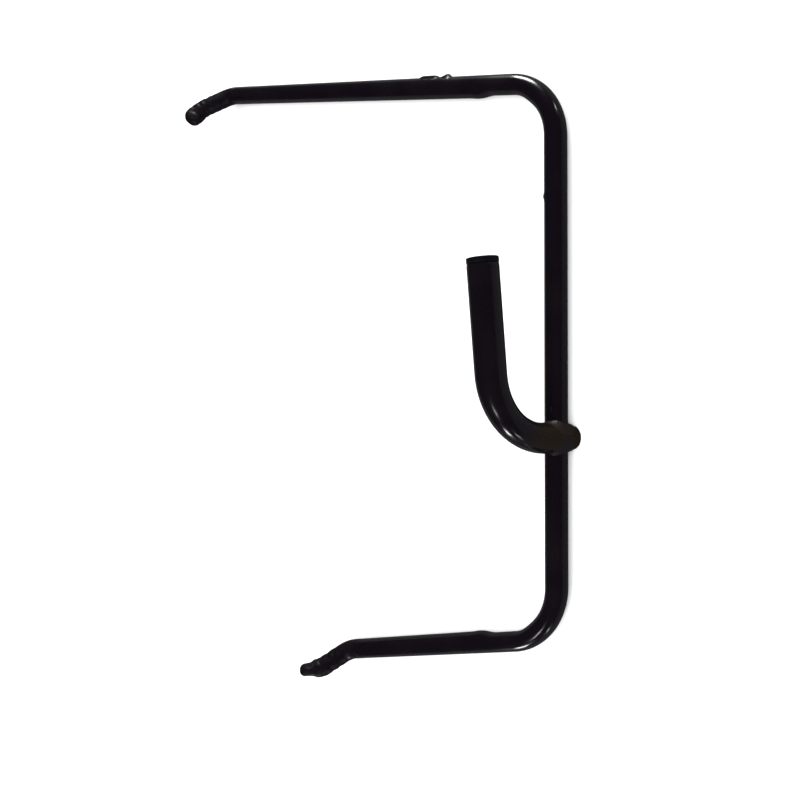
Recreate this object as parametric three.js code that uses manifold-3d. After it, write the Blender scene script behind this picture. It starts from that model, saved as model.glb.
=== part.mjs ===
// Frame grip: a lifting frame of black painted steel tube. One tube is bent into a flat U
// with a crossbar, a long arm and a short arm, both ending in a raised, pinched tip. A
// thicker J-shaped tube stands over the crossbar as the hand grip, notched over it and
// welded on both sides, with a plastic plug in its open end.
// Millimetres, +Z up. The crossbar runs along X, the arms run towards +Y, the frame lies
// on Z = 0, and the grip stem crosses the crossbar at X = 0, Y = 0.
import * as THREE from "three";
import { mergeVertices } from "three/addons/utils/BufferGeometryUtils.js";
import Module from "manifold-3d";

// Tubes
const FRAME_TUBE_DIAMETER = 19;
const FRAME_TUBE_WALL = 1.5;
const GRIP_TUBE_DIAMETER = 25.4;
const GRIP_TUBE_WALL = 1.5;

// Frame, measured between the points where the straight centrelines would meet
const CROSSBAR_LENGTH = 454;
const STEM_OFF_CENTRE = 62.5; // from the middle of the crossbar towards the short arm
const LONG_ARM_LENGTH = 444.5;
const SHORT_ARM_LENGTH = 247;
const LONG_ARM_SPLAY = 12.9; // degrees each arm leans outwards from square
const SHORT_ARM_SPLAY = 13.7;
const CORNER_RADIUS = 53; // on the centreline
const CORNER_SQUEEZE = 0.1; // share of its width the tube loses towards the arm side

// Raised tips: rise above the frame's plane and heading from +Y towards -X, in degrees
const TIP_BEND_RADIUS = 19;
const LONG_TIP_LENGTH = 37.5;
const LONG_TIP_RISE = 36.5;
const LONG_TIP_HEADING = 31;
const SHORT_TIP_LENGTH = 33;
const SHORT_TIP_RISE = 41;
const SHORT_TIP_HEADING = 43.5;

// Pinched noses at the ends of the tips
const NOSE_BEND_RADIUS = 15;
const LONG_NOSE_LENGTH = 24.5;
const LONG_NOSE_RISE = 41;
const LONG_NOSE_HEADING = 70;
const LONG_NOSE_WIDTH = 20.5;
const LONG_NOSE_THICKNESS = 14;
const SHORT_NOSE_LENGTH = 22.5;
const SHORT_NOSE_RISE = 47;
const SHORT_NOSE_HEADING = 9;
const SHORT_NOSE_WIDTH = 19;
const SHORT_NOSE_THICKNESS = 10.8;
const NOSE_SLIT = 1.6; // opening left in the pinched end

// Grip
const GRIP_LEAN = 15.8; // degrees the plane of the J leans towards the arms
const GRIP_SETBACK = 1.6; // how far the stem sits behind the crossbar's centreline
const STEM_LENGTH = 65.8; // crossbar centreline to the corner point of the J
const ELBOW_RADIUS = 55.5;
const ELBOW_SQUEEZE = 0.06;
const LEG_LENGTH = 136; // corner point of the J to the cut end of the tube
const LEG_RISE = 5.2; // degrees the leg climbs away from the crossbar
const LUG_CORNER_RADIUS = 9; // rounding of the two lugs that hang over the crossbar

// Grip plug
const PLUG_HEAD_THICKNESS = 4.6;
const PLUG_EDGE_CHAMFER = 0.8;
const PLUG_SHANK_LENGTH = 18;
const PLUG_SHANK_WALL = 1.8;
const PLUG_RIB_DEPTH = 0.7;

// Welds
const WELD_BEAD_DIAMETER = 5;
const WELD_SINK = 0.9; // bead centre stands this far off both tubes

// Clearance between pieces that touch
const GAP = 0.3;

const FACETS = 24; // flats around each tube, one of them facing the ground
const wasm = await Module();
wasm.setup();

const vec = (x, y, z) => new THREE.Vector3(x, y, z);
const rad = THREE.MathUtils.degToRad;
const frameRadius = FRAME_TUBE_DIAMETER / 2;
const gripRadius = GRIP_TUBE_DIAMETER / 2;
const stemDirection = vec(0, Math.sin(rad(GRIP_LEAN)), Math.cos(rad(GRIP_LEAN)));
const stemFoot = vec(0, -GRIP_SETBACK, frameRadius);

// Unit vector from a rise above level and a heading from +Y towards -X.
function heading(rise, turn) {
  const level = Math.cos(rad(rise));
  return vec(-level * Math.sin(rad(turn)), level * Math.cos(rad(turn)), Math.sin(rad(rise)));
}

// Samples a polyline whose inner corners are rounded: {point, tangent, corner, bend, at},
// where bend runs 0..1 through the corner, counted from 1, and at is the distance along it.
function roundedPath(corners, radii, arcSteps, straightStep) {
  const samples = [];
  const ends = corners.map((p) => ({ before: p.clone(), after: p.clone() }));
  const arcs = [];
  for (let i = 1; i < corners.length - 1; i++) {
    const inward = corners[i].clone().sub(corners[i - 1]).normalize();
    const outward = corners[i + 1].clone().sub(corners[i]).normalize();
    const turn = inward.angleTo(outward);
    const reach = radii[i - 1] * Math.tan(turn / 2);
    ends[i].before = corners[i].clone().addScaledVector(inward, -reach);
    ends[i].after = corners[i].clone().addScaledVector(outward, reach);
    arcs[i] = { inward, turn, axis: inward.clone().cross(outward).normalize() };
  }
  const add = (point, tangent, bend, corner) => samples.push({ point, tangent, bend, corner });
  for (let i = 0; i < corners.length - 1; i++) {
    const from = ends[i].after;
    const to = ends[i + 1].before;
    const tangent = to.clone().sub(from).normalize();
    const steps = Math.max(1, Math.round(from.distanceTo(to) / straightStep));
    for (let k = i === 0 ? 0 : 1; k <= steps; k++)
      add(from.clone().lerp(to, k / steps), tangent.clone(), 0, 0);
    const arc = arcs[i + 1];
    if (!arc) continue;
    const toCentre = arc.axis.clone().cross(arc.inward);
    const centre = to.clone().addScaledVector(toCentre, radii[i]);
    for (let k = 1; k <= arcSteps[i]; k++) {
      const angle = (arc.turn * k) / arcSteps[i];
      const spoke = toCentre.clone().multiplyScalar(-radii[i]);
      add(
        centre.clone().add(spoke.applyAxisAngle(arc.axis, angle)),
        arc.inward.clone().applyAxisAngle(arc.axis, angle),
        k / arcSteps[i],
        i + 1,
      );
    }
  }
  let length = 0;
  samples.forEach((s, i) => {
    if (i > 0) length += s.point.distanceTo(samples[i - 1].point);
    s.at = length;
  });
  return samples;
}

// Adds to each sample a side and an up direction that never twist about the path.
function carryFrame(samples, start, up) {
  const turn = new THREE.Quaternion();
  const place = (i, from) => {
    const s = samples[i];
    s.up = from.up.clone().applyQuaternion(turn.setFromUnitVectors(from.tangent, s.tangent));
    s.side = s.up.clone().cross(s.tangent).normalize();
    s.up = s.tangent.clone().cross(s.side).normalize();
  };
  place(start, { up, tangent: samples[start].tangent });
  for (let i = start + 1; i < samples.length; i++) place(i, samples[i - 1]);
  for (let i = start - 1; i >= 0; i--) place(i, samples[i + 1]);
  return samples;
}

// Ring of points around a sample. The flats touch an oval of half sizes wide and thick,
// whose wide axis is turned by roll from the sample's side direction.
function ringPoints(sample, wide, thick, roll, facets) {
  const grow = 1 / Math.cos(Math.PI / facets);
  return Array.from({ length: facets }, (_, k) => {
    const angle = (2 * Math.PI * (k + 0.5)) / facets;
    const reach = 1 / Math.hypot(Math.cos(angle - roll) / wide, Math.sin(angle - roll) / thick);
    return sample.point
      .clone()
      .addScaledVector(sample.side, grow * reach * Math.cos(angle))
      .addScaledVector(sample.up, grow * reach * Math.sin(angle));
  });
}

// Closed body from a chain of equal rings that ends where it began, so a hollow tube is its
// outer rings going out and its inner rings coming back, and a solid one is capped instead.
function ringBody(rings, closed) {
  const facets = rings[0].length;
  const positions = rings.flat().flatMap((p) => [p.x, p.y, p.z]);
  const faces = [];
  const count = closed ? rings.length : rings.length - 1;
  for (let i = 0; i < count; i++) {
    const a = i * facets;
    const b = ((i + 1) % rings.length) * facets;
    for (let k = 0; k < facets; k++) {
      const n = (k + 1) % facets;
      faces.push(a + k, a + n, b + n, a + k, b + n, b + k);
    }
  }
  if (!closed)
    for (let k = 1; k < facets - 1; k++) {
      const last = (rings.length - 1) * facets;
      faces.push(0, k + 1, k, last, last + k, last + k + 1);
    }
  const geometry = new THREE.BufferGeometry();
  geometry.setAttribute("position", new THREE.Float32BufferAttribute(positions, 3));
  geometry.setIndex(faces);
  return geometry;
}

function hollowTube(samples, size) {
  const outer = samples.map((s) => {
    const o = size(s);
    return ringPoints(s, o.wide, o.thick, o.roll, FACETS);
  });
  const inner = samples.map((s) => {
    const o = size(s);
    return ringPoints(s, o.boreWide, o.boreThick, o.roll, FACETS);
  });
  return ringBody([...outer, ...inner.reverse()], true);
}

function solidRod(samples, radius, facets = FACETS) {
  return ringBody(samples.map((s) => ringPoints(s, radius, radius, 0, facets)), false);
}

function solidOf(geometry) {
  const bare = new THREE.BufferGeometry();
  bare.setAttribute("position", geometry.getAttribute("position"));
  bare.setIndex(geometry.index);
  const merged = mergeVertices(bare, 1e-4);
  return new wasm.Manifold(
    new wasm.Mesh({
      numProp: 3,
      vertProperties: merged.attributes.position.array,
      triVerts: new Uint32Array(merged.index.array),
    }),
  );
}

function geometryOf(solid) {
  const mesh = solid.getMesh();
  const geometry = new THREE.BufferGeometry();
  const positions = new THREE.Float32BufferAttribute(mesh.vertProperties, 3);
  geometry.setAttribute("position", positions);
  geometry.setIndex(new THREE.Uint32BufferAttribute(mesh.triVerts, 1));
  return geometry;
}

// Corner points of the frame's centreline, from the long arm's nose to the short arm's.
function frameCorners() {
  const long = vec(CROSSBAR_LENGTH / 2 + STEM_OFF_CENTRE, 0, frameRadius);
  const short = vec(STEM_OFF_CENTRE - CROSSBAR_LENGTH / 2, 0, frameRadius);
  const longEnd = long.clone().addScaledVector(heading(0, -LONG_ARM_SPLAY), LONG_ARM_LENGTH);
  const shortEnd = short.clone().addScaledVector(heading(0, SHORT_ARM_SPLAY), SHORT_ARM_LENGTH);
  const longTip = longEnd
    .clone()
    .addScaledVector(heading(LONG_TIP_RISE, LONG_TIP_HEADING), LONG_TIP_LENGTH);
  const shortTip = shortEnd
    .clone()
    .addScaledVector(heading(SHORT_TIP_RISE, SHORT_TIP_HEADING), SHORT_TIP_LENGTH);
  return [
    longTip.clone().addScaledVector(heading(LONG_NOSE_RISE, LONG_NOSE_HEADING), LONG_NOSE_LENGTH),
    longTip,
    longEnd,
    long,
    short,
    shortEnd,
    shortTip,
    shortTip
      .clone()
      .addScaledVector(heading(SHORT_NOSE_RISE, SHORT_NOSE_HEADING), SHORT_NOSE_LENGTH),
  ];
}

// Adds samples that are close together over the last stretch of a nose, where it rounds off.
function refineNose(samples, atStart) {
  const list = atStart ? [...samples].reverse() : samples;
  const end = list[list.length - 1];
  const before = list[list.length - 2];
  const length = end.point.distanceTo(before.point);
  const along = end.point.clone().sub(before.point).divideScalar(length);
  const extra = [0.35, 0.6, 0.75, 0.85, 0.93].map((t) => ({
    ...end,
    point: before.point.clone().addScaledVector(along, t * length),
    at: before.at + (end.at - before.at) * t,
  }));
  list.splice(list.length - 1, 0, ...extra);
  return atStart ? list.reverse() : list;
}

// How far a sample is squeezed: 0..1..0 through a frame corner, most near its arm's end.
function cornerSqueeze(sample) {
  if (sample.corner !== 3 && sample.corner !== 4) return 0;
  const fromArm = sample.corner === 3 ? sample.bend : 1 - sample.bend;
  return Math.sin(Math.PI * Math.sqrt(fromArm));
}

function makeFrameTube() {
  const bends = [NOSE_BEND_RADIUS, TIP_BEND_RADIUS, CORNER_RADIUS];
  let samples = roundedPath(frameCorners(), [...bends, ...bends.reverse()], [4, 6, 10, 10, 6, 4], 65);
  samples = refineNose(refineNose(samples, true), false);
  const start = samples.findIndex((s) => s.point.x < 0 && s.bend === 0);
  carryFrame(samples, start, vec(0, 0, 1));
  const total = samples[samples.length - 1].at;
  // Direction across the thin side of each nose, near enough square to the nose.
  const noses = [
    { wide: LONG_NOSE_WIDTH, thick: LONG_NOSE_THICKNESS, thin: vec(0, -0.67, 0.74), reach: 24 },
    { wide: SHORT_NOSE_WIDTH, thick: SHORT_NOSE_THICKNESS, thin: vec(1, 0, 0), reach: 20 },
  ];
  return hollowTube(samples, (s) => {
    const nose = s.at < total / 2 ? noses[0] : noses[1];
    const toEnd = Math.min(s.at, total - s.at);
    const pinch = THREE.MathUtils.smoothstep(nose.reach - toEnd, 0, nose.reach * 0.6);
    const roll = Math.atan2(nose.thin.dot(s.up), nose.thin.dot(s.side)) - Math.PI / 2;
    const squeeze = 1 - CORNER_SQUEEZE * cornerSqueeze(s);
    const round = nose.thick / 2;
    const q = THREE.MathUtils.clamp((round - toEnd) / round, 0, 1);
    const fall = 1 - Math.sqrt(1 - q * q * 0.97);
    const wide = THREE.MathUtils.lerp(frameRadius * squeeze, nose.wide / 2, pinch);
    const thick = THREE.MathUtils.lerp(frameRadius, nose.thick / 2, pinch);
    const size = {
      wide: wide - fall * wide * 0.7,
      thick: thick - fall * thick * 0.7,
      roll: pinch > 0 ? roll : 0,
    };
    size.boreWide = Math.max(size.wide - FRAME_TUBE_WALL, NOSE_SLIT / 2);
    size.boreThick = Math.max(size.thick - FRAME_TUBE_WALL, NOSE_SLIT / 4);
    return size;
  });
}

// Centreline of the grip from below the crossbar to the cut end of its leg.
function gripSamples() {
  const bottom = stemFoot.clone().addScaledVector(stemDirection, -3 * frameRadius);
  const corner = stemFoot.clone().addScaledVector(stemDirection, STEM_LENGTH);
  const along = vec(Math.cos(rad(LEG_RISE)), 0, 0);
  const legDirection = along.addScaledVector(stemDirection, Math.sin(rad(LEG_RISE)));
  const end = corner.clone().addScaledVector(legDirection, LEG_LENGTH);
  const samples = roundedPath([bottom, corner, end], [ELBOW_RADIUS], [12], 45);
  return carryFrame(samples, 0, vec(-1, 0, 0));
}

function crossbarRod(radius) {
  const half = GRIP_TUBE_DIAMETER * 2;
  const samples = [-half, half].map((x) => ({
    point: vec(x, 0, frameRadius),
    tangent: vec(1, 0, 0),
  }));
  return solidOf(solidRod(carryFrame(samples, 0, vec(0, 0, 1)), radius));
}

// Upright block with rounded lower corners that trims the stem level with the ground.
function lugTrimmer() {
  const half = gripRadius + 1;
  const tall = STEM_LENGTH + ELBOW_RADIUS;
  const wide = LEG_LENGTH + ELBOW_RADIUS;
  const shape = new THREE.Shape();
  shape.moveTo(-half, LUG_CORNER_RADIUS);
  shape.absarc(LUG_CORNER_RADIUS - half, LUG_CORNER_RADIUS, LUG_CORNER_RADIUS,
    Math.PI, 1.5 * Math.PI, false);
  shape.absarc(half - LUG_CORNER_RADIUS, LUG_CORNER_RADIUS, LUG_CORNER_RADIUS,
    1.5 * Math.PI, 2 * Math.PI, false);
  shape.lineTo(half, 2 * frameRadius);
  shape.lineTo(wide, 2 * frameRadius);
  shape.lineTo(wide, tall);
  shape.lineTo(-half, tall);
  shape.closePath();
  const depth = 8 * gripRadius;
  const block = new THREE.ExtrudeGeometry(shape, { depth, bevelEnabled: false, curveSegments: 8 });
  block.rotateX(Math.PI / 2).translate(0, depth / 2, 0);
  const bare = new THREE.BufferGeometry();
  bare.setAttribute("position", block.getAttribute("position"));
  return solidOf(mergeVertices(bare, 1e-4));
}

function makeGripTube() {
  const tube = hollowTube(gripSamples(), (s) => {
    const wide = gripRadius;
    const thick = gripRadius * (1 - ELBOW_SQUEEZE * Math.sin(Math.PI * s.bend));
    return {
      wide,
      thick,
      roll: 0,
      boreWide: wide - GRIP_TUBE_WALL,
      boreThick: thick - GRIP_TUBE_WALL,
    };
  });
  const notched = solidOf(tube).subtract(crossbarRod(frameRadius + GAP));
  return geometryOf(notched.intersect(lugTrimmer()));
}

// Plug turned about its own axis, head outermost, then moved to the end of the leg.
function makeGripPlug() {
  const bore = gripRadius - GRIP_TUBE_WALL - GAP;
  const shank = bore - PLUG_RIB_DEPTH;
  const face = PLUG_HEAD_THICKNESS;
  const profile = [
    [0, face],
    [0, 1.5],
    [shank - PLUG_SHANK_WALL, 1.5],
    [shank - PLUG_SHANK_WALL, -PLUG_SHANK_LENGTH],
    [shank - 0.6, -PLUG_SHANK_LENGTH],
    [shank, -PLUG_SHANK_LENGTH + 1.5],
  ];
  for (const start of [-14, -9, -4])
    profile.push([shank, start], [bore, start + 1.6], [shank, start + 1.9]);
  profile.push(
    [shank, 0],
    [gripRadius, 0],
    [gripRadius, face - PLUG_EDGE_CHAMFER],
    [gripRadius - PLUG_EDGE_CHAMFER, face],
    [0, face],
  );
  const points = profile.map(([x, y]) => new THREE.Vector2(x, y));
  const plug = new THREE.LatheGeometry(points, FACETS);
  const end = gripSamples().at(-1);
  plug.applyQuaternion(new THREE.Quaternion().setFromUnitVectors(vec(0, 1, 0), end.tangent));
  const seat = end.point.clone().addScaledVector(end.tangent, GAP);
  return plug.translate(seat.x, seat.y, seat.z);
}

// Bead along the line where one side of the stem meets the crossbar; side is +1 or -1.
function makeWeldBead(side) {
  const across = stemDirection.clone().cross(vec(1, 0, 0)).normalize();
  const stand = frameRadius + WELD_SINK;
  const steps = 22;
  const points = Array.from({ length: steps + 1 }, (_, k) => {
    const angle = rad(THREE.MathUtils.lerp(-8, 196, k / steps));
    const point = vec(0, stand * Math.cos(angle), frameRadius + stand * Math.sin(angle));
    const off = point.clone().sub(stemFoot).dot(across);
    point.x = side * (Math.sqrt(gripRadius ** 2 - Math.min(off ** 2, 120)) + WELD_SINK);
    return point;
  });
  const samples = points.map((point, k) => ({
    point,
    tangent: points[Math.min(k + 1, steps)].clone().sub(points[Math.max(k - 1, 0)]).normalize(),
  }));
  carryFrame(samples, 0, vec(1, 0, 0));
  const rings = samples.map((s, k) => {
    const end = Math.min(k, steps - k);
    const radius = (WELD_BEAD_DIAMETER / 2) * [0.55, 0.85, 1][Math.min(end, 2)];
    return ringPoints(s, radius, radius, 0, 12);
  });
  const stem = solidRod(gripSamples(), gripRadius + GAP);
  const bead = solidOf(ringBody(rings, false))
    .subtract(crossbarRod(frameRadius + GAP))
    .subtract(solidOf(stem));
  const pieces = bead.decompose().sort((a, b) => b.volume() - a.volume());
  return geometryOf(pieces[0]);
}

function paint(color, roughness) {
  return new THREE.MeshStandardMaterial({ color, roughness, metalness: 0 });
}

const root = new THREE.Group();
function addPart(name, geometry, material) {
  const mesh = new THREE.Mesh(geometry, material);
  mesh.name = name;
  root.add(mesh);
}

addPart("frame_tube", makeFrameTube(), paint(0x131116, 0.22));
addPart("grip_tube", makeGripTube(), paint(0x131116, 0.22));
addPart("grip_plug", makeGripPlug(), paint(0x17151a, 0.5));
addPart("weld_bead_long_side", makeWeldBead(1), paint(0x29221d, 0.4));
addPart("weld_bead_short_side", makeWeldBead(-1), paint(0x29221d, 0.4));

export default root;
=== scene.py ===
"""Frame grip: a lifting frame of black enamelled steel tube, with a welded J-shaped hand grip.

Every surface is a function of two parameters, worked out on whole arrays, in metres, in the
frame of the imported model: the crossbar lies along X, the arms run to +Y and +Z is up.
"""
from math import cos, pi, radians, sin, tan

import bpy
import numpy as np
from bpy.props import FloatProperty, FloatVectorProperty, PointerProperty
from mathutils import Matrix, Vector


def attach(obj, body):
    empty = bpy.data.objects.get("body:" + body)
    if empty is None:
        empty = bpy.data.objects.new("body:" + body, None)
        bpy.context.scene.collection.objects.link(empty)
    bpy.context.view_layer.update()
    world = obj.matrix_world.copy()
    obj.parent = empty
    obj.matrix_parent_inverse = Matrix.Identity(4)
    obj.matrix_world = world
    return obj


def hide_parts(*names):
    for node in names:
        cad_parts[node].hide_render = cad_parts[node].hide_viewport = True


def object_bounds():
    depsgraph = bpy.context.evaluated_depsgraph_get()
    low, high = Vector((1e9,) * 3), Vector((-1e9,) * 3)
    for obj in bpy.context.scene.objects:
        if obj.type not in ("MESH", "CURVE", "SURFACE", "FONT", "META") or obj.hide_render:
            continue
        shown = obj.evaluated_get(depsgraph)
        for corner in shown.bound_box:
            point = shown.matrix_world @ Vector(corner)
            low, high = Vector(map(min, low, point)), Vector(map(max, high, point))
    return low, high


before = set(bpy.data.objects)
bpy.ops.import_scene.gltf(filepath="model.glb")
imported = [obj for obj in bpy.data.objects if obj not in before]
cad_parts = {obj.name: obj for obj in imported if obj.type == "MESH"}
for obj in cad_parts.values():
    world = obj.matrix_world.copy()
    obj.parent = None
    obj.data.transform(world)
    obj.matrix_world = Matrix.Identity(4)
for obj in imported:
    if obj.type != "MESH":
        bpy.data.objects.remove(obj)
CAD_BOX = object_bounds()

bl_info = {
    "name": "Frame grip",
    "version": (1, 0, 0),
    "blender": (4, 5, 0),
    "location": "3D View > Sidebar > Frame grip",
    "description": "Builds a bent steel-tube lifting frame with its hand grip, and its stage",
    "category": "Add Mesh",
}

# Gap kept between pieces that touch, in metres
CLEARANCE = 0.0003

# Each raised tip and each pinched nose: its length in metres, and its rise and its turn from
# +Y towards -X in degrees
LONG_TIP, LONG_NOSE = (0.0375, 36.5, 31), (0.0245, 41, 70)
SHORT_TIP, SHORT_NOSE = (0.033, 41, 43.5), (0.0225, 47, 9)

# Half width, half thickness and pinched length of each nose, and the way it is pressed thin
LONG_PINCH, SHORT_PINCH = (0.01025, 0.0070, 0.024), (0.0095, 0.0054, 0.020)
LONG_THIN, SHORT_THIN = (0, -0.67, 0.74), (1, 0, 0)

# Half width and half thickness of the slit left in a nose's end
SLIT = (0.0024, 0.0004)

# Distances up the arm from its bend at which the bender's mark starts, is full, starts to fall
# and ends, and the height, place and width of the ridge past it
MARK_SPAN = (-0.030, -0.004, 0.020, 0.033)
RIDGE_HEIGHT, RIDGE_AT, RIDGE_WIDTH = 0.0005, 0.037, 0.006

# Runs of set enamel on the long arm: height, and the distances up the arm from its corner point
# at which each starts, is full, starts to fall and ends
RUNS = ((0.0017, 0.124, 0.129, 0.143, 0.149), (0.0025, 0.1105, 0.1135, 0.114, 0.123))

# How far the corner point lies past the start of its bend, and how wide the runs are, in radians
CORNER_POINT, RUN_WIDTH = 0.0425, 0.42

# The nib on the crossbar: height, distance past the bend, and its widths along the tube in
# metres and around it in radians
NIB_HEIGHT, NIB_AT, NIB_LENGTH, NIB_WIDTH = 0.0009, 0.0495, 0.0022, 0.25

# Waves of the hammer marks: length, turns round the tube and shift
HAMMER_WAVES = ((0.0013, 3, 0.4), (0.0017, -5, 2.1), (0.0010, -2, 4.0), (0.0022, 6, 1.2),
                (0.0014, 1, 5.3))
HAMMER_DEPTH = 0.0005

# How dull the enamel is on the tips and on a run, where 0 is wet gloss
TIP_DULLNESS, RUN_DULLNESS = 1.6, 2.5

# The stem's centreline starts this far below the crossbar's
STEM_TAIL = 0.03

# The plug: length of its shank, depth of the shank's ribs, chamfer under the head, how far the
# face is dished, and the half width at which each end closes
SHANK_LENGTH, RIB_DEPTH, CHAMFER, DISH_DEPTH, POLE = 0.018, 0.0007, 0.0004, 0.0003, 0.0006

# The weld: turns round the crossbar at which a bead starts and ends, in degrees, where its pool
# is deepest and how wide that is, in radians, the length over which its ends taper, and how
# much its ripples and its slow swells add
WELD_START, WELD_END, POOL_AT, POOL_SPREAD, WELD_TAPER = -4, 214, 2.4, 0.7, 0.004
RIPPLE_SHARE, SWELL_SHARE, SWELL_LENGTH = 0.07, 0.06, 0.0037

# The brown zone about the weld, heat tint set towards the lit long-arm side and so partly painted
# light: how many times distance along the crossbar counts, the length over which its edge fades,
# and how far the edge wanders
SCORCH_NARROWING, SCORCH_FADE, SCORCH_WANDER = 2.5, 0.018, 0.020

# Sockets of a colour Mix node, whose names repeat
FACTOR, FIRST, SECOND, MIXED = 0, 6, 7, 2

# Soft lights, which face the object's middle: name, place, size and share of the side lights'
# power
SIDE_LIGHTS = (
    ("long_side_light", (1.55, 0.23, 0.20), (0.46, 0.42), 0.85),
    ("short_side_light", (-1.33, 0.27, 0.22), (0.24, 0.2), 0.17),
    ("back_side_light", (-1.28, -0.48, 0.14), (0.12, 0.16), 0.035),
    ("far_side_light", (1.26, -0.83, 0.12), (0.1, 0.12), 0.04),
    ("elbow_light", (-1.08, 0.11, 0.96), (0.12, 0.24), 0.07),
)

# The top light's place, the point it faces and its side
TOP_LIGHT_PLACE, TOP_LIGHT_AIM, TOP_LIGHT_SIDE = (0, 0.2, 4), (0, 0.2, 0), 20

# The floor's side, and the share by which glossy rays see it dimmed
FLOOR_SIDE, FLOOR_DIMMING = 10, 0.9

# The camera's place, and how far it faces down and left of +Y and rolls, in degrees
CAMERA_PLACE = (0.03311, -0.33784, 0.58598)
CAMERA_DOWN, CAMERA_LEFT, CAMERA_ROLL = 48.58, 0.26, -90.36


def linear(code):
    """sRGB hex to linear: c / 12.92 up to 0.04045, and ((c + 0.055) / 1.055) ** 2.4 above."""
    c = np.array([int(code[i : i + 2], 16) for i in (1, 3, 5)]) / 255
    return tuple(np.where(c <= 0.04045, c / 12.92, ((c + 0.055) / 1.055) ** 2.4))


def length(name, description, default):
    """A length in metres."""
    return FloatProperty(
        name=name, description=description, default=default, min=0, unit="LENGTH", precision=4
    )


def angle(name, description, default):
    """An angle, with its default in degrees."""
    return FloatProperty(
        name=name, description=description, default=radians(default), subtype="ANGLE"
    )


def share(name, description, default):
    """A share from 0 to 1."""
    return FloatProperty(
        name=name, description=description, default=default, min=0, max=1, subtype="FACTOR"
    )


def colour(name, description, code):
    """A colour, with its default as an sRGB hex code."""
    return FloatVectorProperty(
        name=name, description=description, default=linear(code), size=3, min=0, max=1,
        subtype="COLOR",
    )


class FrameTubeSizes(bpy.types.PropertyGroup):
    diameter: length("Tube diameter", "Outside diameter of the frame's tube", 0.019)
    crossbar: length("Crossbar", "Between the two corner points of the centreline", 0.454)
    off_centre: length("Stem off centre", "Crossbar's middle to the grip stem", 0.0625)
    long_arm: length("Long arm", "Corner point to tip bend", 0.4445)
    short_arm: length("Short arm", "Corner point to tip bend", 0.247)
    long_splay: angle("Long arm splay", "Outward lean of the long arm", 12.9)
    short_splay: angle("Short arm splay", "Outward lean of the short arm", 13.7)
    corner_radius: length("Corner radius", "Centreline radius of the two corners", 0.053)
    tip_radius: length("Tip bend radius", "Centreline radius where a tip rises", 0.019)
    nose_radius: length("Nose bend radius", "Centreline radius at a nose", 0.015)
    grip_mark: length("Bender mark", "How deep the bender pressed each corner's inside", 0.002)


class GripSizes(bpy.types.PropertyGroup):
    diameter: length("Tube diameter", "Outside diameter of the grip's tube", 0.0254)
    wall: length("Tube wall", "Wall of the grip's tube", 0.0015)
    lean: angle("Lean", "Lean of the grip's plane towards the arms", 15.8)
    setback: length("Setback", "How far the stem sits behind the crossbar's middle", 0.0016)
    stem: length("Stem", "Crossbar centreline to the corner point of the J", 0.0658)
    elbow_radius: length("Elbow radius", "Centreline radius of the J", 0.0555)
    leg: length("Leg", "Corner point of the J to the tube's cut end", 0.136)
    leg_rise: angle("Leg rise", "Climb of the leg away from the crossbar", 5.2)
    squeeze: share("Elbow squeeze", "Share of its width the tube loses in the elbow", 0.06)
    lug_rounding: length("Lug rounding", "Corner radius of the lugs over the crossbar", 0.009)
    plug_head: length("Plug head", "Thickness of the plug's head", 0.0046)
    plug_edge: length("Plug edge", "Rounding of the plug head's rim", 0.0008)
    bead: length("Weld pool", "How proud of the stem the weld stands on the crossbar", 0.0032)
    fillet: length("Weld height", "How far the weld climbs the stem", 0.0065)
    ripple: length("Weld ripple", "Distance between two ripples of the bead", 0.0024)


class Finishes(bpy.types.PropertyGroup):
    enamel: colour("Enamel", "Black enamel on the tubes", "#08050a")
    thin_enamel: colour("Thin enamel", "Enamel where it lies thin and warm in tone", "#0c080b")
    scorched: colour("Scorched enamel", "Enamel burnt brown about the weld", "#140c04")
    baked: colour("Baked enamel", "Enamel on the weld itself", "#120905")
    plastic: colour("Plug plastic", "Black moulded plastic of the plug", "#060507")
    floor: colour("Floor", "Pale matt floor", "#f7f7f7")


class Studio(bpy.types.PropertyGroup):
    side_light: FloatProperty(name="Side lights", description="Power of each side light",
                              default=26, min=0, unit="POWER")
    top_light: FloatProperty(name="Top light", description="Power of the top light",
                             default=2650, min=0, unit="POWER")
    sky: share("Sky", "Brightness of the room", 0.03)
    lens: FloatProperty(name="Lens", description="Focal length of the camera",
                        default=36, min=1, unit="CAMERA")


# ---------------------------------------------------------------- geometry on whole arrays

UP = np.array([0, 0, 1.0])


def unit(v):
    """v scaled to a length of 1."""
    return v / np.linalg.norm(v, axis=-1, keepdims=True)


def ease(x, start, end):
    """0 before start, 1 after end, and 3t^2 - 2t^3 between them."""
    t = np.clip((x - start) / (end - start), 0, 1)
    return t * t * (3 - 2 * t)


def plateau(x, start, full, fall, end):
    """0 before start, 1 from full to fall, 0 after end, and eased between them."""
    return ease(x, start, full) * (1 - ease(x, fall, end))


def turned(v, axis, by):
    """v turned about a unit axis: v cos a + (axis x v) sin a + axis (axis . v)(1 - cos a)."""
    by = np.asarray(by, float)[..., None]
    return v * np.cos(by) + np.cross(axis, v) * np.sin(by) + axis * (axis @ v) * (1 - np.cos(by))


def heading(rise, turn):
    """Unit vector that climbs by rise and is turned from +Y towards -X, both in degrees."""
    rise, turn = radians(rise), radians(turn)
    return np.array([-cos(rise) * sin(turn), cos(rise) * cos(turn), sin(rise)])


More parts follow.
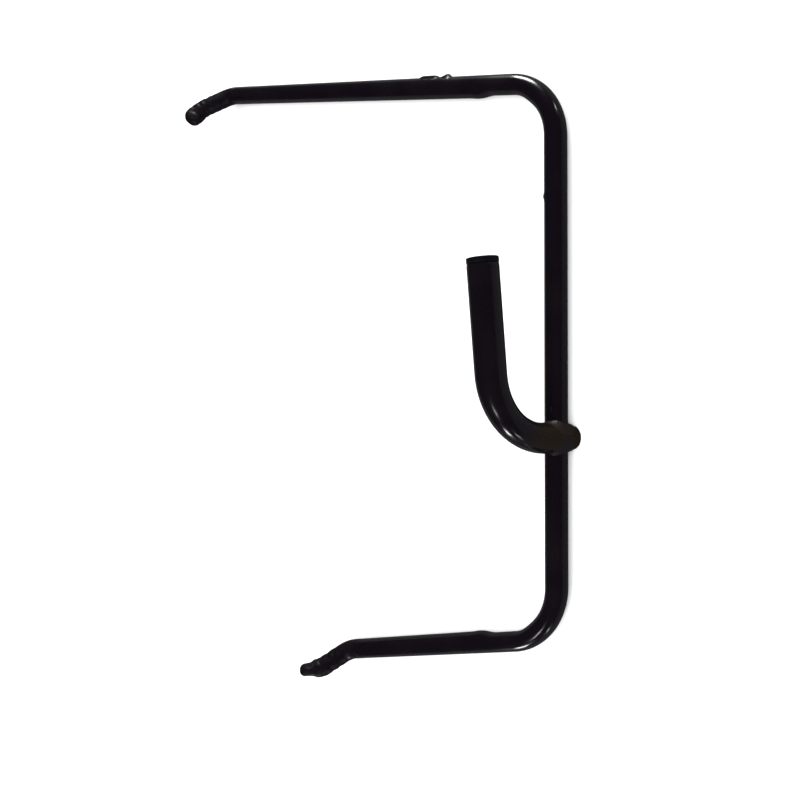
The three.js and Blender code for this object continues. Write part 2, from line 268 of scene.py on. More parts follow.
def lay_route(corners, radii, up):
    """Straight runs joined by circular bends. A bend of turn a and radius r starts r tan(a/2)
    before its corner point, and its centre stands r to the side it turns to. The up direction
    is carried along without twist: a bend turns it about its own axis by its own angle."""
    corners = np.asarray(corners, float)
    way = unit(np.diff(corners, axis=0))
    up = unit(up - way[0] * (up @ way[0]))
    start, at, route = corners[0], 0.0, []
    for i, ahead in enumerate(way):
        last = i == len(way) - 1
        turn = 0 if last else np.arccos(ahead @ way[i + 1])
        reach = 0 if last else radii[i] * tan(turn / 2)
        end = corners[i + 1] - ahead * reach
        run = np.linalg.norm(end - start)
        route.append({"at": at, "run": run, "start": start, "way": ahead, "up": up, "axis": None})
        at += run
        if last:
            break
        axis = unit(np.cross(ahead, way[i + 1]))
        centre = end + np.cross(axis, ahead) * radii[i]
        route.append({"at": at, "run": radii[i] * turn, "start": end, "way": ahead, "up": up,
                      "axis": axis, "centre": centre, "radius": radii[i]})
        at += radii[i] * turn
        up = turned(up, axis, turn)
        start = corners[i + 1] + way[i + 1] * reach
    return route


def follow(route, at):
    """Centre, way and up of the route at an array of distances: start + s way on a straight,
    and the start's spoke, way and up turned about the bend's axis by s / radius in a bend."""
    at = np.asarray(at, float)
    centre, way, up = (np.empty(at.shape + (3,)) for _ in range(3))
    for i, leg in enumerate(route):
        low = -np.inf if i == 0 else leg["at"]
        high = np.inf if i == len(route) - 1 else leg["at"] + leg["run"]
        here = (at >= low) & (at < high)
        s = at[here] - leg["at"]
        if leg["axis"] is None:
            centre[here] = leg["start"] + s[:, None] * leg["way"]
            way[here], up[here] = leg["way"], leg["up"]
        else:
            by = s / leg["radius"]
            centre[here] = leg["centre"] + turned(leg["start"] - leg["centre"], leg["axis"], by)
            way[here] = turned(leg["way"], leg["axis"], by)
            up[here] = turned(leg["up"], leg["axis"], by)
    return centre, way, up


def spokes(way, up, around):
    """Unit vectors across a route at each angle around it: (up x way) cos a + up sin a."""
    side = np.cross(up, way)
    return side[:, None] * np.cos(around)[:, None] + up[:, None] * np.sin(around)[:, None]


def surface(name, rings, ring_shaped=False, handled=None):
    """A closed mesh from rings[i, k], place k of ring i. Place k of each ring joins place k of
    the next, and the last place joins the first. The last ring joins the first too where the
    body is ring-shaped, and otherwise each end is closed by a fan to the middle of its ring.
    The attribute "handled" says how dull the enamel is at each place, from 0, wet gloss,
    to 2.5, dead flat."""
    n, m = rings.shape[:2]
    points = rings.reshape(-1, 3)
    i = np.arange(n if ring_shaped else n - 1)[:, None] * m
    k = np.arange(m)[None, :]
    j = (i + m) % (n * m)
    nxt = (k + 1) % m
    quads = np.stack([i + k, i + nxt, j + nxt, j + k], -1).reshape(-1, 4)
    fans = np.empty((0, 3), int)
    if not ring_shaped:
        points = np.vstack([points, rings[0].mean(0), rings[-1].mean(0)])
        k, nxt = k[0], nxt[0]
        first = np.stack([nxt, k, np.full(m, n * m)], -1)
        last = np.stack([(n - 1) * m + k, (n - 1) * m + nxt, np.full(m, n * m + 1)], -1)
        fans = np.vstack([first, last])
    a, b, c, d = (points[quads[:, q]] for q in range(4))
    volume = (np.cross(a, b) * c).sum() + (np.cross(a, c) * d).sum()
    if len(fans):
        volume += (np.cross(points[fans[:, 0]], points[fans[:, 1]]) * points[fans[:, 2]]).sum()
    if volume < 0:
        quads, fans = quads[:, ::-1], fans[:, ::-1]
    mesh = bpy.data.meshes.new(name)
    mesh.vertices.add(len(points))
    mesh.vertices.foreach_set("co", points.astype(np.float32).ravel())
    loops = np.concatenate([quads.ravel(), fans.ravel()])
    mesh.loops.add(len(loops))
    mesh.loops.foreach_set("vertex_index", loops.astype(np.int32))
    sizes = np.concatenate([np.full(len(quads), 4), np.full(len(fans), 3)])
    mesh.polygons.add(len(sizes))
    mesh.polygons.foreach_set("loop_start", (np.cumsum(sizes) - sizes).astype(np.int32))
    mesh.polygons.foreach_set("use_smooth", np.ones(len(sizes), bool))
    if handled is not None:
        dulled = np.concatenate([handled.ravel(), handled[[0, -1], 0]])
        mesh.attributes.new("handled", "FLOAT", "POINT").data.foreach_set("value", dulled)
    mesh.update(calc_edges=True)
    if mesh.validate():
        raise RuntimeError(f"{name} had faces that Blender had to mend")
    piece = bpy.data.objects.new(name, mesh)
    bpy.context.scene.collection.objects.link(piece)
    return piece


def finish_piece(piece, material, slot, *nodes):
    """Gives a piece its material and its body, and hides the CAD nodes it stands for; slot is not
    used.
    """
    piece.data.materials.append(material)
    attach(piece, "root")
    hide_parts(*nodes)


# ---------------------------------------------------------------- the frame's tube


def bends_of(route):
    """The route's bends, in order."""
    return [leg for leg in route if leg["axis"] is not None]


def facing_to(spoke, way):
    """Cosine of the angle between each spoke and its ring's direction."""
    return np.einsum("nkc,nc->nk", spoke, way)


def bell(spoke, way, width):
    """exp(-(angle / width)^2), where the angle is that between spoke and direction."""
    return np.exp(-(np.arccos(np.clip(facing_to(spoke, way), -1, 1)) / width) ** 2)


def stretch(start, reach, rise, turn):
    """The point at a distance from start in the direction that heading gives."""
    return start + reach * heading(rise, turn)


def frame_corners(s):
    """Corner points of the tube's centreline from the long arm's nose to the short arm's."""
    z = s.diameter / 2
    long = np.array([s.crossbar / 2 + s.off_centre, 0, z])
    short = np.array([s.off_centre - s.crossbar / 2, 0, z])
    long_end = stretch(long, s.long_arm, 0, -np.degrees(s.long_splay))
    short_end = stretch(short, s.short_arm, 0, np.degrees(s.short_splay))
    long_tip, short_tip = stretch(long_end, *LONG_TIP), stretch(short_end, *SHORT_TIP)
    return [stretch(long_tip, *LONG_NOSE), long_tip, long_end, long,
            short, short_end, short_tip, stretch(short_tip, *SHORT_NOSE)]


def dented(at, spoke, way, route, s):
    """How far the surface stands off a round tube. The bender's shoe flattened the inside of
    each corner, from the arm's half of the bend to 33 mm up the arm, by its depth times
    (spoke . inward)^1.5, and left a low ridge past that. Each corner is 5% slimmer across as
    well, by sin(pi t)."""
    inward = unit(np.cross(way, UP))
    facing = facing_to(spoke, inward)
    bends = bends_of(route)
    inner = np.clip(facing, 0, 1) ** 1.5
    off = np.zeros(spoke.shape[:2])
    for bend, sense in ((bends[2], -1), (bends[3], 1)):
        t = np.clip((at - bend["at"]) / bend["run"], 0, 1)
        off -= 0.025 * s.diameter * np.sin(pi * t)[:, None] * facing**2
        tangent_at = bend["at"] + (bend["run"] if sense > 0 else 0)
        up_arm = sense * (at - tangent_at)
        mark = s.grip_mark * plateau(up_arm, *MARK_SPAN)
        ridge = RIDGE_HEIGHT * np.exp(-(((up_arm - RIDGE_AT) / RIDGE_WIDTH) ** 2))
        off += (ridge - mark)[:, None] * inner
    return off


def lumps(at, spoke, way, route):
    """Two runs of set enamel on the outside of the long arm and a nib on the crossbar: each is
    its height times a plateau or a bell along the tube, times a bell around it."""
    corner = bends_of(route)[2]
    inward = unit(np.cross(way, UP))
    outside, top_inside = unit(0.3 * UP - 0.95 * inward), unit(0.75 * UP + inward)
    up_arm = corner["at"] + CORNER_POINT - at
    runs = sum(height * plateau(up_arm, *span) for height, *span in RUNS)
    along_bar = at - corner["at"] - corner["run"] - NIB_AT
    nib = NIB_HEIGHT * np.exp(-((along_bar / NIB_LENGTH) ** 2))
    return (runs[:, None] * bell(spoke, outside, RUN_WIDTH)
            + nib[:, None] * bell(spoke, top_inside, NIB_WIDTH))


def hammered(at, around):
    """Shallow hammer marks, -1 to 1: the mean of five waves that run at different slants, each
    sin(distance / length + turns * angle + shift)."""
    waves = [np.sin(at[:, None] / far + turns * around + shift)
             for far, turns, shift in HAMMER_WAVES]
    return np.mean(waves, axis=0)


def frame_tube_rings(s):
    """Rings of the bent tube. A ring's reach along a spoke is that of a superellipse
    (|c/wide|^p + |s/thick|^p)^(-1/p), round along the tube and flattened at the noses, where
    it also falls off as a quarter circle, then turns in to a narrow slit and closes. Also
    gives how dull the enamel is at each place."""
    radii = [s.nose_radius, s.tip_radius, s.corner_radius]
    route = lay_route(frame_corners(s), radii + radii[::-1], UP)
    total = route[-1]["at"] + route[-1]["run"]
    # rings stand 0.25 mm apart on a nose's end, 0.7 mm for the next 40 mm and 2.1 mm beyond,
    # and the first two and the last two line the slit, 5 mm and 1.2 mm deep
    fine = np.concatenate([np.linspace(0, 0.0015, 7), np.linspace(0.0019, 0.042, 58)])
    middle = np.linspace(0.0427, total - 0.0427, int((total - 0.085) / 0.0021))
    at = np.concatenate([[0.005, 0.0012], fine, middle, total - fine[::-1],
                         [total - 0.0012, total - 0.005]])
    slit = np.zeros(len(at), bool)
    slit[[0, 1, -2, -1]] = True
    around = np.linspace(0, 2 * pi, 73)[:-1]
    centre, way, up = follow(route, at)
    spoke = spokes(way, up, around)
    long_side = (at < total / 2)[:, None]
    to_end = np.minimum(at, total - at)
    thin = np.where(long_side, LONG_THIN, SHORT_THIN)
    thin = np.where((to_end < 0.05)[:, None], thin, up)  # past 50 mm the tube is round
    thin = unit(thin - way * np.einsum("nc,nc->n", thin, way)[:, None])
    wide_way = np.cross(way, thin)
    wide_end, thick_end, reach = np.where(long_side, LONG_PINCH, SHORT_PINCH).T
    pinch = ease(reach - to_end, 0, 0.6 * reach)
    q, q_wide = (np.clip(1 - to_end / far, 0, 1) for far in (thick_end, wide_end))
    fall, fall_wide = 1 - np.sqrt(1 - 0.985 * q**2), 1 - np.sqrt(1 - 0.97 * q_wide**2)
    round_half, blunt = s.diameter / 2, 0.8
    wide = (round_half + pinch * (wide_end - round_half)) * (1 - blunt * fall_wide)
    thick = (round_half + pinch * (thick_end - round_half)) * (1 - blunt * fall)
    wide, thick = np.where(slit, SLIT[0], wide), np.where(slit, SLIT[1], thick)
    power = (2 + 0.7 * pinch)[:, None]
    c = np.abs(facing_to(spoke, wide_way)) / wide[:, None]
    t = np.abs(facing_to(spoke, thin)) / thick[:, None]
    radius = (c**power + t**power) ** (-1 / power)
    # the hammer marks fade out from 14 to 34 mm past the pinch, and the scuffs of the tips from
    # 68 to 80 mm past the end
    struck = ease(reach + 0.034 - to_end, 0, 0.02) * (1 - q) * ~slit
    radius += HAMMER_DEPTH * hammered(at, around) * struck[:, None]
    runs = lumps(at, spoke, way, route)
    radius += dented(at, spoke, way, route, s) + runs
    dullness = np.maximum(TIP_DULLNESS * (1 - ease(to_end, 0.068, 0.080)[:, None]),
                          RUN_DULLNESS * ease(runs, 0, 0.0005))
    return centre[:, None] + spoke * radius[..., None], dullness


# ---------------------------------------------------------------- the grip


def grip_axes(g):
    """Way of the stem, and the direction across it in the plane square to the crossbar."""
    stem = np.array([0, sin(g.lean), cos(g.lean)])
    return stem, np.array([0, cos(g.lean), -sin(g.lean)])


def grip_route(g, tube):
    """The J's centreline, from below the crossbar up the stem, round the elbow and along."""
    stem, _ = grip_axes(g)
    foot = np.array([0, -g.setback, tube.diameter / 2])
    corner = foot + g.stem * stem
    leg = np.array([cos(g.leg_rise), 0, 0]) + stem * sin(g.leg_rise)
    start = foot - stem * STEM_TAIL
    return lay_route([start, corner, corner + g.leg * leg], [g.elbow_radius],
                     np.array([-1.0, 0, 0]))


def lower_edge(across, along_bar, g, tube):
    """Where the stem's wall begins, counted from the crossbar's middle along the stem. Over
    the bar it is the saddle a0 + sqrt(R^2 - (w - c0)^2), and beside the bar it is the lug, cut
    level with the ground and rounded: ground height rises as r - sqrt(r^2 - (|x| - e)^2),
    where the arc would end 1 mm outside the tube, so that it never stands upright."""
    big = tube.diameter / 2 + CLEARANCE
    c0, a0 = g.setback * cos(g.lean), g.setback * sin(g.lean)
    saddle = a0 + np.sqrt(np.clip(big**2 - (across - c0) ** 2, 0, None))
    edge = g.diameter / 2 + 0.001 - g.lug_rounding
    out = np.clip(np.abs(along_bar) - edge, 0, g.lug_rounding)
    height = g.lug_rounding - np.sqrt(g.lug_rounding**2 - out**2)
    lug = (height + across * sin(g.lean) - tube.diameter / 2) / cos(g.lean)
    return np.where(np.abs(across - c0) < big, saddle, lug)


def grip_tube_rings(g, tube):
    """Rings of the hollow J: out along the outer wall, round the cut end and back along the
    bore. Each place around the tube runs from its own lower edge to the cut end, so ring t is
    at low(a) + t (end - low(a)). The elbow is slimmer in its own plane by sin(pi t), and the
    outer rim is eased off over its last 0.7 mm."""
    route = grip_route(g, tube)
    _, across = grip_axes(g)
    around = np.linspace(0, 2 * pi, 145)[:-1]
    end = route[-1]["at"] + route[-1]["run"]
    bend = route[1]
    out, back = np.linspace(0, 1, 170), np.linspace(1, 0, 120)
    walls = []
    first = spokes(route[0]["way"][None], route[0]["up"][None], around)[0]
    for t, inset, rounding in ((out, 0.0, 0.00035), (back, g.wall, 0.0)):
        base = g.diameter / 2 - inset
        low = STEM_TAIL + lower_edge(base * first @ across, base * first[:, 0], g, tube)
        at = low + t[:, None] * (end - low)
        centre, way, up = follow(route, at)
        side = np.cross(up, way)
        spoke = side * np.cos(around)[:, None] + up * np.sin(around)[:, None]
        inward = np.cross(bend["axis"], way)
        facing = np.einsum("nkc,nkc->nk", spoke, inward)
        bent = np.sin(pi * np.clip((at - bend["at"]) / bend["run"], 0, 1))
        radius = base * (1 - g.squeeze * bent * facing**2)
        radius -= rounding * ease(at, end - 0.0007, end)
        walls.append(centre + spoke * radius[..., None])
    return np.concatenate(walls)


def plug_rings(g, tube):
    """The plug turned about the leg's axis: head with a rounded rim and a face faintly dished
    within 9 mm of its middle, and a ribbed shank in the bore, whose radius is a saw of three
    teeth along its length."""
    route = grip_route(g, tube)
    end = route[-1]["at"] + route[-1]["run"]
    rim, edge, head = g.diameter / 2, g.plug_edge, g.plug_head
    bore = rim - g.wall - CLEARANCE
    t = np.linspace(0, 1, 46)
    shank_at = (t - 1) * SHANK_LENGTH
    teeth = bore - RIB_DEPTH * (1 - np.mod(3 * t, 1)) * (t < 1)
    turn = np.linspace(0, pi / 2, 9)
    dish = np.linspace(rim - edge - 0.0008, POLE, 14)
    along = np.concatenate([[-SHANK_LENGTH, -SHANK_LENGTH], shank_at, [0, CHAMFER],
                            head - edge + edge * np.sin(turn),
                            head - DISH_DEPTH * ease(-dish, -0.0095, -0.0085)])
    reach = np.concatenate([[POLE, bore - 0.0016], teeth, [rim - CHAMFER, rim],
                            rim - edge + edge * np.cos(turn), dish])
    around = np.linspace(0, 2 * pi, 97)[:-1]
    centre, way, up = follow(route, end + CLEARANCE + along)
    return centre[:, None] + spokes(way, up, around) * reach[:, None, None]


def weld_rings(side, g, tube):
    """A fillet of weld laid on the stem's flank round the crossbar. At turn a round the bar and
    distance rho from its axis, the stem's wall stands at x = sqrt(r^2 - w^2), and the weld
    stands proud of it by h (1 - t)^1.5 where t is the share of the fillet's height climbed.
    The pool h is deepest 48 degrees behind the bar's top, swells a little at each ripple and
    tapers as a quarter circle at both ends. The back closes the ring 0.9 mm inside the stem."""
    _, across = grip_axes(g)
    turn = np.radians(np.linspace(WELD_START, WELD_END, 150))[:, None]
    sunk, faces, backs = -0.12, 26, 14  # t under the bar's skin, and rows of face and back
    t = np.concatenate([np.linspace(sunk, 1, faces), np.linspace(1, sunk, backs)])[None, :]
    outer = np.arange(faces + backs) < faces
    run = turn * tube.diameter / 2
    ripple = 1 + RIPPLE_SHARE * (1 - (2 * np.mod(run / g.ripple, 1) - 1) ** 2) * (1 - np.abs(t))
    ends = np.minimum(run - run[0], run[-1] - run)
    taper = np.sqrt(np.clip(1 - (1 - np.clip(ends / WELD_TAPER, 0, 1)) ** 2, 0, 1))
    climb = g.fillet * (0.35 + 0.65 * taper)
    rho = tube.diameter / 2 + t * climb
    y, z = rho * np.cos(turn), tube.diameter / 2 + rho * np.sin(turn)
    w = (y + g.setback) * across[1] + (z - tube.diameter / 2) * across[2]
    wall = np.sqrt(np.clip((g.diameter / 2) ** 2 - w**2, 0, None))
    crown = 0.25 + 0.7 * np.exp(-(((turn - POOL_AT) / POOL_SPREAD) ** 2))
    pool = g.bead * crown * ripple * taper
    swell = 1 + SWELL_SHARE * np.sin(run / SWELL_LENGTH + side)
    proud = pool * swell * np.clip(1 - t, 0, 1) ** 1.5
    x = side * np.where(outer, wall + proud - 0.0001, wall - 0.0009)
    return np.stack([x, y + 0 * t, z + 0 * t], -1)


# ---------------------------------------------------------------- materials


def add(tree, kind, settings=None, **links):
    """A node with its settings, and its inputs linked. A setting whose key is an input's name or
    number sets that input, or links it where the value is a socket, and any other sets the node
    itself. Spaces in the names of links are written as _."""
    node = tree.nodes.new(kind)
    for key, value in (settings or {}).items():
        if isinstance(value, bpy.types.NodeSocket):
            tree.links.new(value, node.inputs[key])
        elif isinstance(key, int) or key in node.inputs:
            node.inputs[key].default_value = value
        else:
            setattr(node, key, value)
    for key, socket in links.items():
        tree.links.new(socket, node.inputs[key.replace("_", " ")])
    return node


def new_material(name):
    """An empty material, with its node tree and its Object coordinates."""
    material = bpy.data.materials.new(name)
    material.use_nodes = True
    material.node_tree.nodes.clear()
    tree = material.node_tree
    place = add(tree, "ShaderNodeTexCoord").outputs["Object"]
    return material, tree, place


def rgba(c):
    """A colour with full alpha."""
    return (*c, 1.0)


def gloss_enamel(f, name, brown_middle, brown_reach):
    """Black alkyd enamel, sprayed wet over drawn steel tube and air dried. The eye sees near
    black with a wet gloss, a soft orange peel of 1.5 to 3 mm, slow waves where it sagged, a few
    dust nibs, a warmer tone in patches, a brown, duller zone about the weld, and raised
    tips scuffed in patches of 3.5 mm. The brown is heat tint, and its middle is set towards the
    lit long-arm side, so it is also painted light: brown on the lit side, black on the shaded
    side."""
    material, tree, place = new_material(name)
    patches = add(tree, "ShaderNodeTexNoise", {"Scale": 1 / 0.035, "Detail": 3.0}, Vector=place)
    peel = add(tree, "ShaderNodeTexNoise", {"Scale": 1 / 0.0022, "Detail": 2.0}, Vector=place)
    sag = add(tree, "ShaderNodeTexNoise", {"Scale": 1 / 0.014, "Detail": 1.0}, Vector=place)
    nibs = add(tree, "ShaderNodeTexVoronoi", {"Scale": 1 / 0.006}, Vector=place)
    nib = add(tree, "ShaderNodeMapRange", {
        "From Min": 0.0, "From Max": 0.09, "To Min": 1.0, "To Max": 0.0,
        "interpolation_type": "SMOOTHSTEP"}, Value=nibs.outputs["Distance"])

    # the brown zone is heat tint, with its middle set towards the lit side as painted light; it
    # lies nearer that middle than brown_reach, with x counted more than once
    narrow = np.array((SCORCH_NARROWING, 1, 1))
    squeezed = add(tree, "ShaderNodeVectorMath", {"operation": "MULTIPLY", 0: place, 1: narrow})
    from_weld = add(tree, "ShaderNodeVectorMath", {
        "operation": "DISTANCE", 0: squeezed.outputs["Vector"], 1: narrow * brown_middle})
    ragged = add(tree, "ShaderNodeMath", {
        "operation": "MULTIPLY_ADD", 0: patches.outputs["Fac"], 1: SCORCH_WANDER,
        2: from_weld.outputs["Value"]})
    scorch_and_lit_side = add(tree, "ShaderNodeMapRange", {
        "From Min": brown_reach - SCORCH_FADE, "From Max": brown_reach, "To Min": 1.0, "To Max": 0.0,
        "interpolation_type": "SMOOTHSTEP"}, Value=ragged.outputs[0])

    tone = add(tree, "ShaderNodeMapRange", {"From Min": 0.45, "From Max": 0.75, "To Max": 0.8},
               Value=patches.outputs["Fac"])
    black = add(tree, "ShaderNodeMix", {
        "data_type": "RGBA", FACTOR: tone.outputs[0], FIRST: rgba(f.enamel),
        SECOND: rgba(f.thin_enamel)})
    coat = add(tree, "ShaderNodeMix", {
        "data_type": "RGBA", FACTOR: scorch_and_lit_side.outputs[0], FIRST: black.outputs[MIXED],
        SECOND: rgba(f.scorched)})

    dull = add(tree, "ShaderNodeMapRange", {"From Min": 0.3, "From Max": 0.7, "To Min": 0.14,
                                            "To Max": 0.23}, Value=patches.outputs["Fac"])
    tips = add(tree, "ShaderNodeAttribute", {"attribute_name": "handled"})
    scuff = add(tree, "ShaderNodeTexNoise", {"Scale": 1 / 0.0035, "Detail": 2.0}, Vector=place)
    scuffs = add(tree, "ShaderNodeMapRange", {"From Min": 0.35, "From Max": 0.65, "To Min": 0.06,
                                              "To Max": 0.24}, Value=scuff.outputs["Fac"])
    charred = add(tree, "ShaderNodeMath", {
        "operation": "MULTIPLY_ADD", 0: scorch_and_lit_side.outputs[0], 1: 0.13, 2: dull.outputs[0]})
    rough = add(tree, "ShaderNodeMath", {
        "operation": "MULTIPLY_ADD", 0: tips.outputs["Fac"], 1: scuffs.outputs[0],
        2: charred.outputs[0]})
    flat = add(tree, "ShaderNodeMath", {
        "operation": "MAXIMUM", 0: scorch_and_lit_side.outputs[0], 1: tips.outputs["Fac"]})
    gloss = add(tree, "ShaderNodeMapRange", {
        "From Max": RUN_DULLNESS, "To Min": 0.5, "To Max": 0.02}, Value=flat.outputs[0])

    slow = add(tree, "ShaderNodeBump", {"Strength": 0.5, "Distance": 0.00035},
               Height=sag.outputs["Fac"])
    skin = add(tree, "ShaderNodeBump", {"Strength": 0.35, "Distance": 0.00006},
               Height=peel.outputs["Fac"], Normal=slow.outputs[0])
    dust = add(tree, "ShaderNodeBump", {"Strength": 0.3, "Distance": 0.00008},
               Height=nib.outputs[0], Normal=skin.outputs[0])
    shader = add(tree, "ShaderNodeBsdfPrincipled", {"IOR": 1.42}, Normal=dust.outputs[0],
                 Base_Color=coat.outputs[MIXED], Roughness=rough.outputs[0],
                 Specular_IOR_Level=gloss.outputs[0])
    add(tree, "ShaderNodeOutputMaterial", Surface=shader.outputs[0])
    return material


def enamelled_weld(f):
    """Arc-welded fillet under the same enamel, brown and dull on the long arm's side of the stem
    and black with half a gloss on the other. The brown is heat tint, and its split by side is
    painted light: the lit long-arm side is painted brown and the shaded side black. Ripples are
    in the mesh, and the eye sees fine scale and pitting between them."""
    material, tree, place = new_material("enamel over arc weld")
    scale = add(tree, "ShaderNodeTexNoise", {"Scale": 1 / 0.0016, "Detail": 4.0}, Vector=place)
    pits = add(tree, "ShaderNodeTexVoronoi", {"Scale": 1 / 0.0028}, Vector=place)
    tone = add(tree, "ShaderNodeMix", {
        "data_type": "RGBA", FACTOR: scale.outputs["Fac"], FIRST: rgba(f.baked),
        SECOND: rgba(f.scorched)})
    # brown on the lit +X side and enamel black on the shaded -X side: painted light over the heat
    # tint
    across = add(tree, "ShaderNodeSeparateXYZ", Vector=place)
    scorch_and_lit_side = add(tree, "ShaderNodeMapRange", {"From Min": -0.006, "From Max": 0.002},
                Value=across.outputs["X"])
    coat = add(tree, "ShaderNodeMix", {
        "data_type": "RGBA", FACTOR: scorch_and_lit_side.outputs[0], FIRST: rgba(f.enamel),
        SECOND: tone.outputs[MIXED]})
    grain = add(tree, "ShaderNodeMapRange", {"To Min": 0.3, "To Max": 0.4},
                Value=scale.outputs["Fac"])
    rough = add(tree, "ShaderNodeMath", {
        "operation": "MULTIPLY_ADD", 0: scorch_and_lit_side.outputs[0], 1: 0.08, 2: grain.outputs[0]})
    coarse = add(tree, "ShaderNodeBump", {"Strength": 0.4, "Distance": 0.00015},
                 Height=pits.outputs["Distance"])
    fine = add(tree, "ShaderNodeBump", {"Strength": 0.4, "Distance": 0.0001},
               Height=scale.outputs["Fac"], Normal=coarse.outputs[0])
    shader = add(tree, "ShaderNodeBsdfPrincipled", {"IOR": 1.45}, Base_Color=coat.outputs[MIXED],
                 Roughness=rough.outputs[0], Normal=fine.outputs[0])
    add(tree, "ShaderNodeOutputMaterial", Surface=shader.outputs[0])
    return material


def moulded_plastic(f):
    """Black low-density polyethylene, injection moulded in a spark-eroded tool. The eye sees a
    soft, waxy half gloss with a fine even grain."""
    material, tree, place = new_material("moulded polyethylene")
    grain = add(tree, "ShaderNodeTexNoise", {"Scale": 1 / 0.0007, "Detail": 2.0}, Vector=place)
    rough = add(tree, "ShaderNodeMapRange", {"To Min": 0.38, "To Max": 0.5},
                Value=grain.outputs["Fac"])
    bump = add(tree, "ShaderNodeBump", {"Strength": 0.3, "Distance": 0.00004},
               Height=grain.outputs["Fac"])
    shader = add(tree, "ShaderNodeBsdfPrincipled", {
        "Base Color": rgba(f.plastic), "IOR": 1.51, "Specular IOR Level": 0.2},
        Roughness=rough.outputs[0], Normal=bump.outputs[0])
    add(tree, "ShaderNodeOutputMaterial", Surface=shader.outputs[0])
    return material


def matt_floor(f):
    """Matt white paper sweep: no gloss, and a tone that hardly wanders. Glossy rays meet it
    nearly black, so the enamel mirrors a dark room with only a hint of the paper."""
    material, tree, place = new_material("matt paper")
    wander = add(tree, "ShaderNodeTexNoise", {"Scale": 1 / 0.8, "Detail": 1.0}, Vector=place)
    rough = add(tree, "ShaderNodeMapRange", {"To Min": 0.9, "To Max": 1.0},
                Value=wander.outputs["Fac"])
    paper = add(tree, "ShaderNodeBsdfPrincipled", {
        "Base Color": rgba(f.floor), "Specular IOR Level": 0.0}, Roughness=rough.outputs[0])
    dark = add(tree, "ShaderNodeBsdfDiffuse", {"Color": (0, 0, 0, 1)})
    rays = add(tree, "ShaderNodeLightPath")
    hidden = add(tree, "ShaderNodeMath", {
        "operation": "MULTIPLY", 0: rays.outputs["Is Glossy Ray"], 1: FLOOR_DIMMING})
    seen = add(tree, "ShaderNodeMixShader", {
        0: hidden.outputs[0], 1: paper.outputs[0], 2: dark.outputs[0]})
    add(tree, "ShaderNodeOutputMaterial", Surface=seen.outputs[0])
    return material


# ---------------------------------------------------------------- operators


class FRAMEGRIP_OT_frame_tube(bpy.types.Operator):
    """Builds the bent tube: crossbar, two arms, raised tips and pinched noses"""

    bl_idname = "framegrip.frame_tube"
    bl_label = "Frame tube"

    def execute(self, context):
        scene = context.scene
        rings, dullness = frame_tube_rings(scene.frame_tube_sizes)
        tube = surface("enamelled_frame_tube", rings, handled=dullness)
        # the brown zone's middle stands 3 mm towards the lit long-arm side: painted light over
        # the heat tint
        paint = gloss_enamel(scene.finishes, "gloss enamel on frame tube",
                             brown_middle=(0.003, 0, 0.02), brown_reach=0.026)
        finish_piece(tube, paint, "black_paint", "frame_tube")
        return {"FINISHED"}


class FRAMEGRIP_OT_grip_tube(bpy.types.Operator):
    """Builds the hollow J-shaped grip tube, notched over the crossbar"""

    bl_idname = "framegrip.grip_tube"
    bl_label = "Grip tube"

    def execute(self, context):
        scene = context.scene
        rings = grip_tube_rings(scene.grip_sizes, scene.frame_tube_sizes)
        tube = surface("enamelled_grip_tube", rings, ring_shaped=True)
        # the brown zone's middle stands 4 mm towards the lit long-arm side, leaving the shaded
        # flank black: painted light over the heat tint
        paint = gloss_enamel(scene.finishes, "gloss enamel on grip tube",
                             brown_middle=(0.004, 0, 0.01), brown_reach=0.055)
        finish_piece(tube, paint, "black_paint", "grip_tube")
        return {"FINISHED"}


class FRAMEGRIP_OT_grip_plug(bpy.types.Operator):
    """Builds the ribbed plastic plug in the grip's open end"""

    bl_idname = "framegrip.grip_plug"
    bl_label = "Grip plug"

    def execute(self, context):
        scene = context.scene
        plug = surface("moulded_grip_plug", plug_rings(scene.grip_sizes, scene.frame_tube_sizes))
        finish_piece(plug, moulded_plastic(scene.finishes), "black_plastic", "grip_plug")
        return {"FINISHED"}


class FRAMEGRIP_OT_weld_beads(bpy.types.Operator):
    """Builds the two rippled weld beads between the stem and the crossbar"""

    bl_idname = "framegrip.weld_beads"
    bl_label = "Weld beads"

    def execute(self, context):
        scene = context.scene
        paint = enamelled_weld(scene.finishes)
        for side, name in ((1, "long_side"), (-1, "short_side")):
            rings = weld_rings(side, scene.grip_sizes, scene.frame_tube_sizes)
            bead = surface(f"rippled_weld_{name}", rings)
            finish_piece(bead, paint, "weld_paint", f"weld_bead_{name}")
        return {"FINISHED"}


def soft_light(name, place, aim, size, power, glossy=True):
    """An area light that faces aim, and shows in the gloss where glossy is set."""
    lamp = bpy.data.lights.new(name, "AREA")
    lamp.shape, lamp.size, lamp.size_y, lamp.energy = "RECTANGLE", *size, power
    light = bpy.data.objects.new(name, lamp)
    bpy.context.scene.collection.objects.link(light)
    light.location = place
    light.rotation_euler = (Vector(aim) - Vector(place)).to_track_quat("-Z", "Y").to_euler()
    light.visible_glossy = glossy


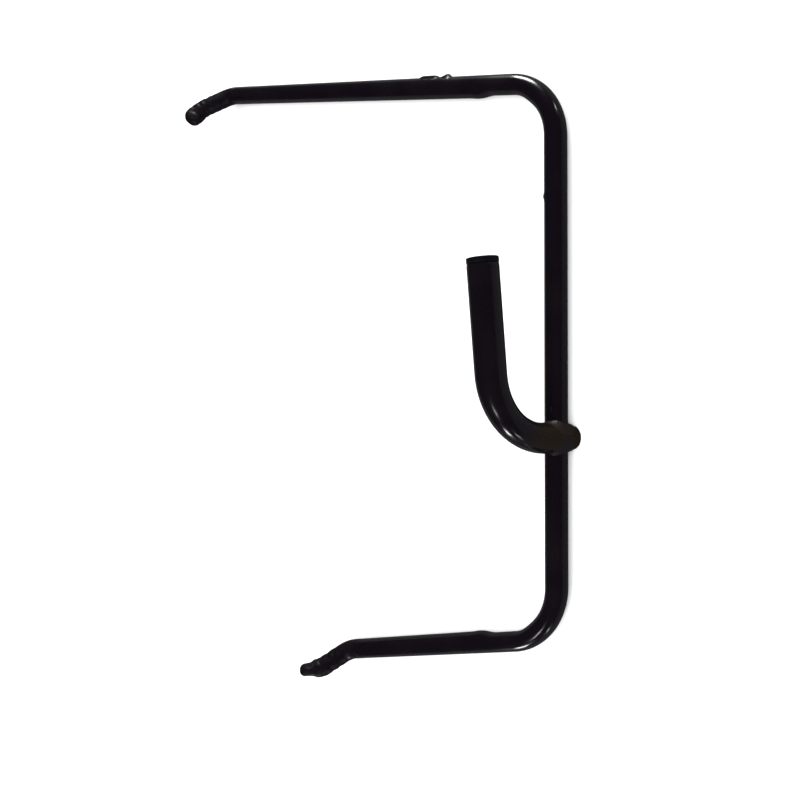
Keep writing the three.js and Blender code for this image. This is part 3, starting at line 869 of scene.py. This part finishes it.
class FRAMEGRIP_OT_stage(bpy.types.Operator):
    """Lays the pale floor and sets the soft lights and the camera"""

    bl_idname = "framegrip.stage"
    bl_label = "Stage"

    def execute(self, context):
        scene = context.scene
        studio = scene.studio
        sheet = bpy.data.meshes.new("paper_sweep")
        corners = np.array([(-1, -1, 0), (1, -1, 0), (1, 1, 0), (-1, 1, 0)]) * FLOOR_SIDE / 2
        sheet.from_pydata(corners.tolist(), [], [(0, 1, 2, 3)])
        floor = bpy.data.objects.new("paper_sweep", sheet)
        scene.collection.objects.link(floor)
        sheet.materials.append(matt_floor(scene.finishes))

        low, high = (np.array(v) for v in CAD_BOX)
        middle = (low + high) / 2
        for name, place, size, part in SIDE_LIGHTS:
            soft_light(name, place, middle, size, part * studio.side_light)
        soft_light("top_light", TOP_LIGHT_PLACE, TOP_LIGHT_AIM, (TOP_LIGHT_SIDE, TOP_LIGHT_SIDE),
                   studio.top_light, glossy=False)

        scene.view_settings.view_transform = "Standard"
        world = scene.world or bpy.data.worlds.new("room")
        scene.world = world
        world.use_nodes = True
        sky = world.node_tree.nodes.get("Background") or world.node_tree.nodes.new(
            "ShaderNodeBackground")
        sky.inputs["Color"].default_value = (1, 1, 1, 1)
        rays = add(world.node_tree, "ShaderNodeLightPath")
        seen = add(world.node_tree, "ShaderNodeMath", {
            "operation": "MULTIPLY_ADD", 0: rays.outputs["Is Camera Ray"], 1: 1 - studio.sky,
            2: studio.sky})
        world.node_tree.links.new(seen.outputs[0], sky.inputs["Strength"])

        camera = bpy.data.objects.new("camera", bpy.data.cameras.new("camera"))
        scene.collection.objects.link(camera)
        camera.data.sensor_width, camera.data.lens = 36, studio.lens
        camera.data.clip_start = 0.02
        camera.matrix_world = aimed(CAMERA_PLACE, CAMERA_DOWN, CAMERA_LEFT, CAMERA_ROLL)
        scene.camera = camera
        return {"FINISHED"}


def aimed(place, down, left, roll):
    """Camera at place, facing +Y turned left and tilted down, then rolled about its view."""
    turn = Matrix.Rotation(radians(left), 4, "Z") @ Matrix.Rotation(radians(90 - down), 4, "X")
    return Matrix.Translation(place) @ turn @ Matrix.Rotation(radians(roll), 4, "Z")


class FRAMEGRIP_PT_panel(bpy.types.Panel):
    """Lists the frame grip's pieces and their sizes"""

    bl_idname = "FRAMEGRIP_PT_panel"
    bl_label = "Frame grip"
    bl_space_type = "VIEW_3D"
    bl_region_type = "UI"
    bl_category = "Frame grip"

    def draw(self, context):
        scene = context.scene
        for operator in OPERATORS:
            self.layout.operator(operator.bl_idname)
        for group in GROUPS:
            box = self.layout.box()
            for key in GROUPS[group].__annotations__:
                box.prop(getattr(scene, group), key)


GROUPS = {
    "frame_tube_sizes": FrameTubeSizes,
    "grip_sizes": GripSizes,
    "finishes": Finishes,
    "studio": Studio,
}
OPERATORS = (FRAMEGRIP_OT_frame_tube, FRAMEGRIP_OT_grip_tube, FRAMEGRIP_OT_grip_plug,
             FRAMEGRIP_OT_weld_beads, FRAMEGRIP_OT_stage)


def register():
    for cls in (*GROUPS.values(), *OPERATORS, FRAMEGRIP_PT_panel):
        bpy.utils.register_class(cls)
    for name, group in GROUPS.items():
        setattr(bpy.types.Scene, name, PointerProperty(type=group))


def unregister():
    for name in GROUPS:
        delattr(bpy.types.Scene, name)
    for cls in (FRAMEGRIP_PT_panel, *OPERATORS, *GROUPS.values()):
        bpy.utils.unregister_class(cls)


def main():
    register()
    bpy.ops.framegrip.stage()
    bpy.ops.framegrip.frame_tube()
    bpy.ops.framegrip.grip_tube()
    bpy.ops.framegrip.grip_plug()
    bpy.ops.framegrip.weld_beads()


if __name__ == "__main__":
    main()
